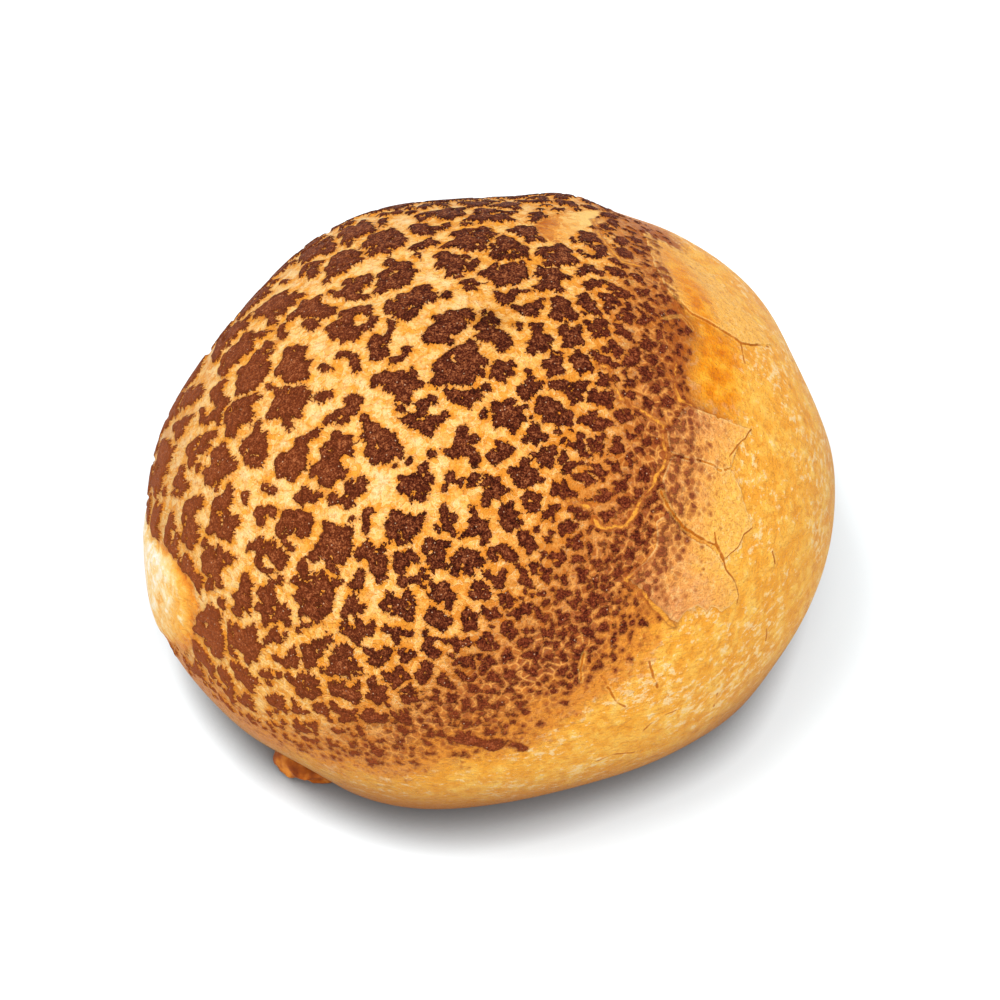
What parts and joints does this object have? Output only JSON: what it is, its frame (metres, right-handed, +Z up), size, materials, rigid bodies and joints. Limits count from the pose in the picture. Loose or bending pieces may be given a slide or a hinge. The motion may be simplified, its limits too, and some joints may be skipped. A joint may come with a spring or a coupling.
{
  "type": "tiger bread roll",
  "caption": "Round crusty bread roll on a flat base, its top cracked into raised dark plates with bare golden dough between them and down one side.",
  "frame": {"origin": "on the board, under the middle of the roll's box", "axes": "+Z up from the board, +X towards the roll's bare golden side, -Y towards its front"},
  "size_m": [0.1136, 0.1094, 0.0711],
  "materials": {
    "crust": "matt baked crust, dark plates over golden dough"
  },
  "bodies": {
    "root": {"roll": "crust"}
  },
  "joints": []
}
